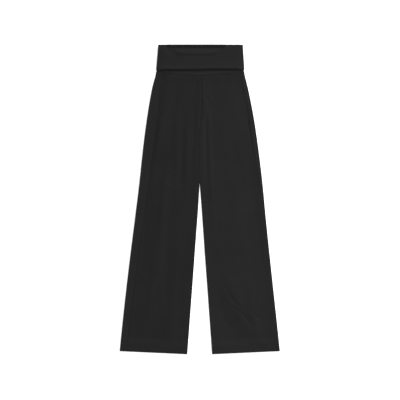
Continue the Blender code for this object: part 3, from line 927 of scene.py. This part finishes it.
def black_jersey(name, painted_shade):
    sockets = {
        "Metallic": 0.0,
        "Specular IOR Level": 0.06,
        "Sheen Weight": 0.02,
        "Sheen Roughness": 0.5,
        "Sheen Tint": (0.8, 0.8, 0.82, 1.0),
    }
    material, tree, shader = new_material(name, sockets)
    place = tree.nodes.new("ShaderNodeTexCoord").outputs["Object"]
    nap = noise_node(tree, place, NAP_SCALE, 3.0)
    fibre = noise_node(tree, place, FIBRE_SCALE, 1.0)
    nap_shade = math_node(tree, "MULTIPLY", nap, NAP_SHARE)
    shade = math_node(tree, "MULTIPLY_ADD", fibre, 1 - NAP_SHARE, nap_shade)
    # The piece's painted shade scales its blacks, standing in for uneven light.
    blacks = [[painted_shade * channel for channel in colour] for colour in BLACKS]
    tree.links.new(colour_ramp(tree, shade, (0.25, 0.75), blacks), shader.inputs["Base Color"])
    smoothest, roughest = NAP_ROUGHNESS
    rough = math_node(tree, "MULTIPLY_ADD", nap, roughest - smoothest, smoothest)
    tree.links.new(rough, shader.inputs["Roughness"])
    bump = tree.nodes.new("ShaderNodeBump")
    bump.inputs["Strength"].default_value = 0.6
    bump.inputs["Distance"].default_value = KNIT_DEPTH
    tree.links.new(knit_height(tree), bump.inputs["Height"])
    tree.links.new(bump.outputs["Normal"], shader.inputs["Normal"])
    return material


jerseys = {piece: black_jersey(f"black_jersey_{piece}", painted_shade) for piece, painted_shade in PAINTED_SHADES.items()}
print(f"knit: {1 / WALE / 100:.0f} wales and {1 / COURSE / 100:.0f} courses to the centimetre")

# %% [markdown]
# ## Make the six pieces
#
# Each sheet rides on the one rigid body and replaces the solid it was built on. A leg panel is
# narrower at the waist than at the hem, so its area is less than its width times its length. The
# waistband is one long ply, cut twice as long as it looks.

# %% Leg panels and waistband


def dress(name, grid, jersey):
    """Makes a piece of cloth from its grid, in place of the solid of that name."""
    sheet = cloth_sheet(f"{name}_cloth", grid, jersey)
    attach(sheet, "root")
    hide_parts(name)


SIDES = {"right": -1, "left": 1}
leg_grids = {}
for wearer, side in SIDES.items():
    for part in ("back", "front"):
        grid = leg_grid(side, part)
        leg_grids[part, wearer] = grid
        dress(f"{part}_{wearer}_leg", grid, jerseys[wearer])
dress("waistband_back", band_grid("back"), jerseys["waistband"])
dress("waistband_front", band_grid("front"), jerseys["waistband"])

# %% [markdown]
# ## Hem stitching
#
# A jersey hem is sewn with a twin needle, which leaves two rows of short stitches on the outside.
# Each stitch is a small pill of thread, half sunk in the cloth: a few rings of points that follow
# the cloth, so a stitch bends round the side fold too. A whole hem is a single mesh. Hundreds of
# copies of one object would also do, but they would be straight and slow to handle.

# %% Twin rows of stitches round each hem
STITCH_PITCH = 2.9
STITCH_LENGTH = 2.3
THREAD_RADIUS = 0.17
THREAD_SUNK = 0.02  # how far the middle of the thread lies below the face of the cloth
STITCH_END = 1.5  # from a seam to the first stitch
PILL_SIDES = 6
PILL_RINGS = 4
PILL_END = 0.35  # radius of a pill's ends, as a share of the thread's
TWIST_SCALE = 2600.0
THREAD_BLACKS = ((0.012, 0.012, 0.012), (0.024, 0.024, 0.025))


def hem_row(grid, above):
    """The row of a leg panel's outer ply that lies this far above the hem's edge."""
    column = grid[:, grid.shape[1] // 2]
    lowest = int(np.argmax(column[:, 1]))
    return int(np.argmin(np.abs(column[:lowest, 1] - (column[lowest, 1] - above))))


def stitch_rings(grid, above):
    """Places of a row of stitches, as an array of stitches, rings, sides and place."""
    row = hem_row(grid, above)
    line, normals = grid[row], grid_normals(grid)[row]
    along = np.concatenate([[0], np.linalg.norm(np.diff(line, axis=0), axis=1).cumsum()])
    outward = np.sign(normals[:, 2] * (line[:, 2] - HEM_TOP / 2))[:, None]
    normals = np.where(outward == 0, normals, normals * outward)

    def on_cloth(values, distances):
        return np.column_stack([np.interp(distances, along, values[:, k]) for k in range(3)])

    starts = np.arange(STITCH_END, along[-1] - STITCH_LENGTH - STITCH_END, STITCH_PITCH)
    rings = []
    for t in np.linspace(-1, 1, PILL_RINGS + 1):
        places = starts + STITCH_LENGTH / 2 * (1 + math.sin(t * math.pi / 2))
        radius = THREAD_RADIUS * max(PILL_END, math.sqrt(max(0.0, 1 - abs(t) ** 3)))
        up = unit(on_cloth(normals, places))
        before, after = (on_cloth(line, places + step) for step in (-THREAD_RADIUS, THREAD_RADIUS))
        onward = unit(after - before)
        aside = unit(np.cross(onward, up))
        centres = on_cloth(line, places) + up * (PLY / 2 - THREAD_SUNK)
        turns = np.linspace(0, 2 * math.pi, PILL_SIDES, endpoint=False)
        round_it = [aside * math.cos(turn) + up * math.sin(turn) for turn in turns]
        rings.append(np.stack([centres + radius * spoke for spoke in round_it], axis=1))
    return np.stack(rings, axis=1)


def pill_faces(count):
    """Faces of that many pills, whose points are numbered pill by pill and ring by ring."""
    faces = []
    for base in range(0, count * (PILL_RINGS + 1) * PILL_SIDES, (PILL_RINGS + 1) * PILL_SIDES):
        for ring in range(PILL_RINGS):
            for k in range(PILL_SIDES):
                a = base + ring * PILL_SIDES + k
                b = base + ring * PILL_SIDES + (k + 1) % PILL_SIDES
                faces.append((a, b, b + PILL_SIDES, a + PILL_SIDES))
        faces.append(tuple(base + k for k in reversed(range(PILL_SIDES))))
        faces.append(tuple(base + PILL_RINGS * PILL_SIDES + k for k in range(PILL_SIDES)))
    return faces


def black_thread():
    """Polyester thread: as black as the cloth, a little smoother, with a faint twist."""
    material, tree, shader = new_material("black_thread", {"Specular IOR Level": 0.25})
    place = tree.nodes.new("ShaderNodeTexCoord").outputs["Object"]
    twist = noise_node(tree, place, TWIST_SCALE, 1.0)
    tree.links.new(colour_ramp(tree, twist, (0.0, 1.0), THREAD_BLACKS), shader.inputs["Base Color"])
    rough = math_node(tree, "MULTIPLY_ADD", twist, 0.2, 0.5)
    tree.links.new(rough, shader.inputs["Roughness"])
    return material


thread = black_thread()


def hem_stitching(wearer):
    """Both rows of stitches round one hem, as one mesh."""
    grids = [leg_grids[part, wearer] for part in ("front", "back")]
    rows = [stitch_rings(grid, above) for grid in grids for above in STITCH_ROWS]
    stitches = np.concatenate(rows)
    points, faces = to_frame(stitches), pill_faces(len(stitches))
    stitching = mesh_object(f"{wearer}_hem_stitching", points, faces, thread)
    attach(stitching, "root")
    print(f"{wearer} hem: {len(stitches)} stitches")


for wearer in SIDES:
    hem_stitching(wearer)

# %% [markdown]
# ## Floor, light and camera
#
# The photograph is a cut-out on white, so the floor is plain and nearly white. Black cloth shows
# its folds only by the light that grazes them. A low key light from beyond the waist, turned
# towards the wearer's left, gives every fold a bright and a dark side. A large lamp at the wearer's
# left and a weaker, lower one at the right light the side folds. The camera looks straight down
# through a long lens, so that nothing is drawn out of shape.

# %% Floor
FLOOR_SIZE = 60.0
FLOOR_BELOW = 0.0002  # this far under the cloth

sockets = {
    "Roughness": 0.9,
    "Specular IOR Level": 0.1,
    "Base Color": (0.9, 0.9, 0.9, 1.0),
    "Emission Color": (1.0, 1.0, 1.0, 1.0),
    "Emission Strength": 0.55,
}
half = FLOOR_SIZE / 2
corners = [(-half, -half, 0), (half, -half, 0), (half, half, 0), (-half, half, 0)]
white = new_material("lit_white_table", sockets)[0]
floor = mesh_object("floor", corners, [(0, 1, 2, 3)], white)
floor.location.z = cad_low.z - FLOOR_BELOW
print(f"floor: {FLOOR_SIZE:.0f} m square")

# %% Light
ROOM_LIGHT = 0.38
KEY_LIGHT = 4.5
KEY_HEIGHT = 22.0  # degrees above the floor
KEY_TURN = 62.0  # degrees from the wearer's left towards the waist
KEY_SOFTNESS = 9.0  # degrees across
KEY_DISTANCE = 3.0
SIDE_LIGHTS = {"left_light": (1, 58.0, 1.9), "right_light": (-1, 22.0, 0.6)}  # side, power, height
SIDE_DISTANCE = 2.4
SIDE_LIGHT_SIZE = (1.2, 3.0)

world = bpy.data.worlds.new("soft_room")
bpy.context.scene.world = world
world.use_nodes = True
background = world.node_tree.nodes["Background"]
background.inputs["Color"].default_value = (1.0, 1.0, 1.0, 1.0)
background.inputs["Strength"].default_value = ROOM_LIGHT


def add_lamp(name, kind, power, place):
    """A lamp in its place, facing the middle of the garment."""
    light = bpy.data.lights.new(name, kind)
    light.energy = power
    lamp = add_object(name, light)
    lamp.location = place
    lamp.rotation_euler = (-lamp.location).to_track_quat("-Z", "Y").to_euler()
    return light


height, turn = math.radians(KEY_HEIGHT), math.radians(KEY_TURN)
place = (math.cos(height) * math.cos(turn), math.cos(height) * math.sin(turn), math.sin(height))
key = add_lamp("key_light", "SUN", KEY_LIGHT, [KEY_DISTANCE * part for part in place])
key.angle = math.radians(KEY_SOFTNESS)
for name, (side, power, height) in SIDE_LIGHTS.items():
    light = add_lamp(name, "AREA", power, (side * SIDE_DISTANCE, 0.0, height))
    light.shape = "RECTANGLE"
    light.size, light.size_y = SIDE_LIGHT_SIZE
print("lamps: 1 key light and", ", ".join(SIDE_LIGHTS))

# %% Camera
PHOTO_SIDE = 400
MM_PER_PIXEL = 3.556
PHOTO_TOP_ROW = 44.8  # the photograph's row where the waist fold lies
PHOTO_CENTRE_COLUMN = 199.83  # its column where the centre line lies
LENS = 85.0
SENSOR = 36.0

view_x = (PHOTO_SIDE / 2 - PHOTO_CENTRE_COLUMN) * MM_PER_PIXEL
view_y = WAIST_FOLD - (PHOTO_SIDE / 2 - PHOTO_TOP_ROW) * MM_PER_PIXEL
distance = PHOTO_SIDE * MM_PER_PIXEL * LENS / SENSOR
camera_data = bpy.data.cameras.new("camera")
camera_data.lens = LENS
camera_data.sensor_width = SENSOR
camera_data.clip_end = 50.0
camera = add_object("camera", camera_data)
camera.location = (view_x * MM, view_y * MM, distance * MM)
bpy.context.scene.camera = camera
bpy.context.scene.view_settings.view_transform = "Standard"
print(f"camera {distance * MM:.2f} m above the floor")
